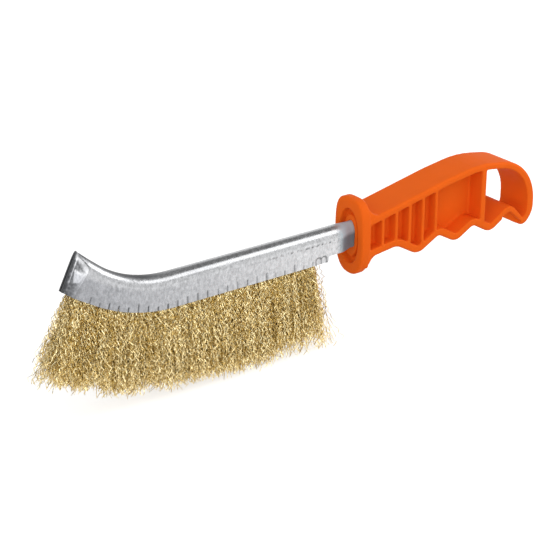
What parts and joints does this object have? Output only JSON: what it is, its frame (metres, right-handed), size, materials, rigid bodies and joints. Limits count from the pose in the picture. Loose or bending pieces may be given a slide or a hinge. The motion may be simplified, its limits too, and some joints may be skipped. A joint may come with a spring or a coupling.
{
  "type": "wire brush",
  "caption": "Hand wire brush: a curved steel channel filled with crimped brass-coloured wire, on an orange moulded plastic grip that ends in a hanging loop.",
  "frame": {"origin": "under the middle of the whole brush, on the plane that the wire tips touch", "axes": "+X from the curved nose towards the handle's loop, +Y across the brush, +Z from the wire tips up towards the channel's crown"},
  "size_m": [0.2644, 0.0206, 0.0761],
  "materials": {
    "orange_plastic": "moulded orange plastic with a soft sheen",
    "galvanised_steel": "satin galvanised sheet steel, brighter along the rounded crown",
    "core_steel": "plain drawn steel wire, hidden",
    "brass_plated_wire": "crimped brass-plated wire"
  },
  "bodies": {
    "root": {"handle": "orange_plastic", "steel_channel": "galvanised_steel", "core_wire": "core_steel", "bristle_bundle_01": "brass_plated_wire", "bristle_bundle_02": "brass_plated_wire", "bristle_bundle_03": "brass_plated_wire", "bristle_bundle_04": "brass_plated_wire", "bristle_bundle_05": "brass_plated_wire", "bristle_bundle_06": "brass_plated_wire", "bristle_bundle_07": "brass_plated_wire", "bristle_bundle_08": "brass_plated_wire", "bristle_bundle_09": "brass_plated_wire", "bristle_bundle_10": "brass_plated_wire"}
  },
  "joints": []
}
